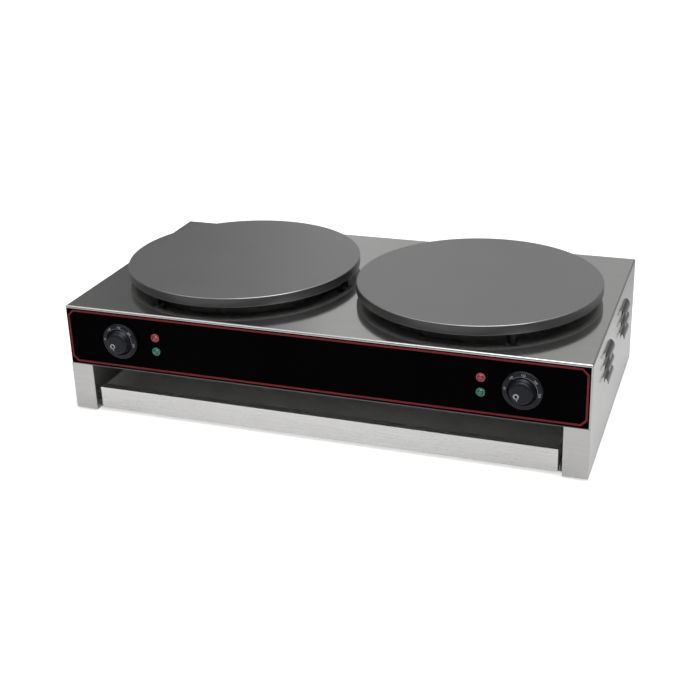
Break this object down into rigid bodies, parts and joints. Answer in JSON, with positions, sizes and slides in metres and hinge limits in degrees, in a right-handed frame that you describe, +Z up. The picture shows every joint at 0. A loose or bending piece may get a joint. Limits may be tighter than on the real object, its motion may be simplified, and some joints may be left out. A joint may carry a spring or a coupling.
{
  "type": "electric crepe maker",
  "caption": "Double electric crepe maker: round cast griddles on a low steel case with dials, pilot lamps, side louvres and a wide drawer under the hood.",
  "frame": {"origin": "centre of the bounding box on the surface that it stands on", "axes": "+X to the right along the width seen from the front, -Y towards the user, +Z up"},
  "size_m": [0.876, 0.494, 0.216],
  "materials": {
    "satin_steel": "satin stainless sheet with a fine horizontal grain",
    "drawer_steel": "brighter stainless sheet",
    "tray_sheet": "dull galvanised sheet",
    "inner_steel": "plain galvanised inner sheet",
    "dark_cast_iron": "machined and seasoned griddle, satin dark grey",
    "panel_glass": "glossy black control panel with a thin red outline",
    "dial_plastic": "charcoal plastic with white scale",
    "bezel_red": "pink-red lamp bezel",
    "bezel_green": "grey-green lamp bezel",
    "lamp_red": "translucent red lens",
    "lamp_green": "translucent green lens",
    "zinc": "bright zinc plated fastener",
    "spacer_steel": "blackened steel spacer",
    "element_tube": "oxidised heating element sheath",
    "pan_steel": "aluminised reflector sheet",
    "fibre": "compressed ceramic fibre",
    "ceramic": "glazed ceramic block",
    "brass": "plain brass",
    "wire": "silicone insulated wire",
    "copper_sensor": "copper bulb and capillary",
    "foot_rubber": "black rubber foot",
    "gland_nylon": "black nylon cable gland",
    "thermostat_body": "moulded thermostat body"
  },
  "bodies": {
    "chassis": {"hood": "satin_steel", "control_panel": "panel_glass", "rear_panel": "satin_steel", "deck_plate": "inner_steel", "rear_skirt": "satin_steel", "feet": "foot_rubber", "foot_fasteners": "zinc", "base_screws": "zinc", "deck_screws": "zinc", "rear_screws": "zinc", "standoffs": "spacer_steel", "plate_screws": "zinc", "pan_bolts": "zinc", "thermostat_screws": "zinc", "lamp_nuts": "zinc", "gland_nuts": "gland_nylon", "bonding_stud": "brass", "bonding_nut": "brass", "terminal_screws": "brass", "skirt_left": "satin_steel", "rail_left": "inner_steel", "hot_plate_left": "dark_cast_iron", "heating_element_left": "element_tube", "reflector_left": "pan_steel", "insulation_left": "fibre", "thermostat_left": "thermostat_body", "dial_ring_left": "dial_plastic", "sensor_left": "copper_sensor", "cable_gland_left": "gland_nylon", "terminal_block_left": "ceramic", "leads_left": "wire", "lamp_holder_red_left": "bezel_red", "lamp_lens_red_left": "lamp_red", "lamp_holder_green_left": "bezel_green", "lamp_lens_green_left": "lamp_green", "skirt_right": "satin_steel", "rail_right": "inner_steel", "hot_plate_right": "dark_cast_iron", "heating_element_right": "element_tube", "reflector_right": "pan_steel", "insulation_right": "fibre", "thermostat_right": "thermostat_body", "dial_ring_right": "dial_plastic", "sensor_right": "copper_sensor", "cable_gland_right": "gland_nylon", "terminal_block_right": "ceramic", "leads_right": "wire", "lamp_holder_red_right": "bezel_red", "lamp_lens_red_right": "lamp_red", "lamp_holder_green_right": "bezel_green", "lamp_lens_green_right": "lamp_green"},
    "drawer": {"drawer_tray": "tray_sheet", "drawer_front": "drawer_steel", "drawer_stops": "inner_steel", "drawer_rivets": "zinc"},
    "control_left": {"knob_left": "dial_plastic", "spindle_left": "zinc"},
    "control_right": {"knob_right": "dial_plastic", "spindle_right": "zinc"}
  },
  "joints": [
    {"name": "drawer_slide", "type": "slide", "parent": "chassis", "child": "drawer", "axis": [0, -1, 0], "range_m": [0, 0.3]},
    {"name": "knob_left_turn", "type": "hinge", "parent": "chassis", "child": "control_left", "pos_m": [-0.331, -0.2295, 0.1384], "axis": [0, 1, 0], "range_deg": [0, 262]},
    {"name": "knob_right_turn", "type": "hinge", "parent": "chassis", "child": "control_right", "pos_m": [0.331, -0.2295, 0.1384], "axis": [0, 1, 0], "range_deg": [0, 262]}
  ]
}
